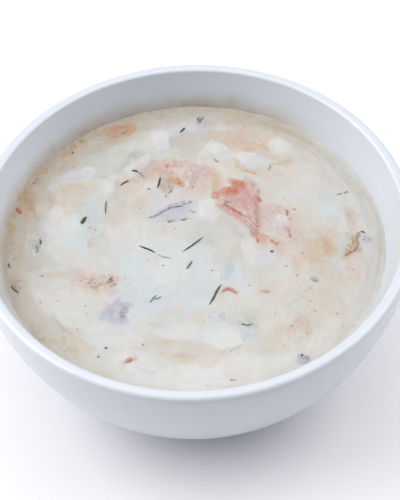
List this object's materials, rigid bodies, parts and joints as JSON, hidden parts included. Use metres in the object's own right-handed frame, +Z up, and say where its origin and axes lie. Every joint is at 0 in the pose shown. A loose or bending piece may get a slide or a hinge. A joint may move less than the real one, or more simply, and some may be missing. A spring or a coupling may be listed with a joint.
{
  "type": "bowl of cream sauce",
  "caption": "Round white bowl on a foot ring, filled with a thick pale cream sauce with sunk tomato and onion pieces, herb threads and pepper.",
  "frame": {"origin": "on the table under the middle of the foot ring", "axes": "+Z up through the middle of the bowl; +X to the right as seen from the picture's side, which is -Y"},
  "size_m": [0.13, 0.13, 0.06],
  "materials": {
    "porcelain": "smooth white glaze with a soft gloss",
    "cream_sauce": "thick cream, softly glossy, with pale pink, green and yellow patches",
    "tomato": "moist cooked tomato, orange-red with a darker crease",
    "coated_tomato": "tomato under a thin coat of cream",
    "fried_skin": "brown-orange cooked skin, moist",
    "onion": "pale violet-grey onion, moist"
  },
  "bodies": {
    "root": {"bowl": "porcelain", "sauce": "cream_sauce", "tomato_main": "tomato", "tomato_tail": "tomato", "tomato_mid": "coated_tomato", "tomato_left": "coated_tomato", "tomato_back": "coated_tomato", "tomato_skin": "fried_skin", "onion_left": "onion", "onion_front": "onion", "onion_right": "onion", "onion_strip": "onion"}
  },
  "joints": []
}
